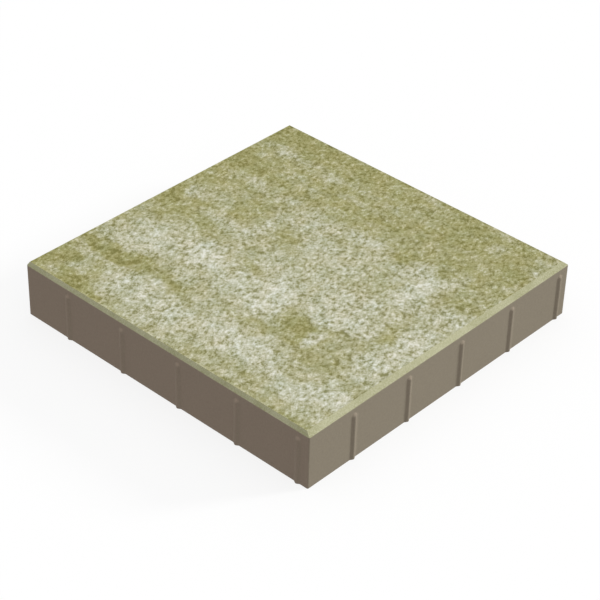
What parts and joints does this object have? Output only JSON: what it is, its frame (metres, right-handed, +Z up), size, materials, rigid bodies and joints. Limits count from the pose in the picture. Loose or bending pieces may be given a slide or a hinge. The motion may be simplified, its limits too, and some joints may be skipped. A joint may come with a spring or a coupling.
{
  "type": "paving slab",
  "caption": "Square concrete paving slab with a bevelled, stone-textured olive facing on a brown-grey backing and ridge-shaped spacer nibs down its sides.",
  "frame": {"origin": "middle of the underside, on the level bed that the slab lies on", "axes": "+Z up through the thickness to the walking surface; X and Y square to the four side faces"},
  "size_m": [0.606, 0.606, 0.1],
  "materials": {
    "backing_concrete": "matt, fine-grained pressed concrete",
    "facing_concrete": "matt, mottled, with a stone-like relief on the walking surface"
  },
  "bodies": {
    "root": {"backing_layer": "backing_concrete", "facing_layer": "facing_concrete"}
  },
  "joints": []
}
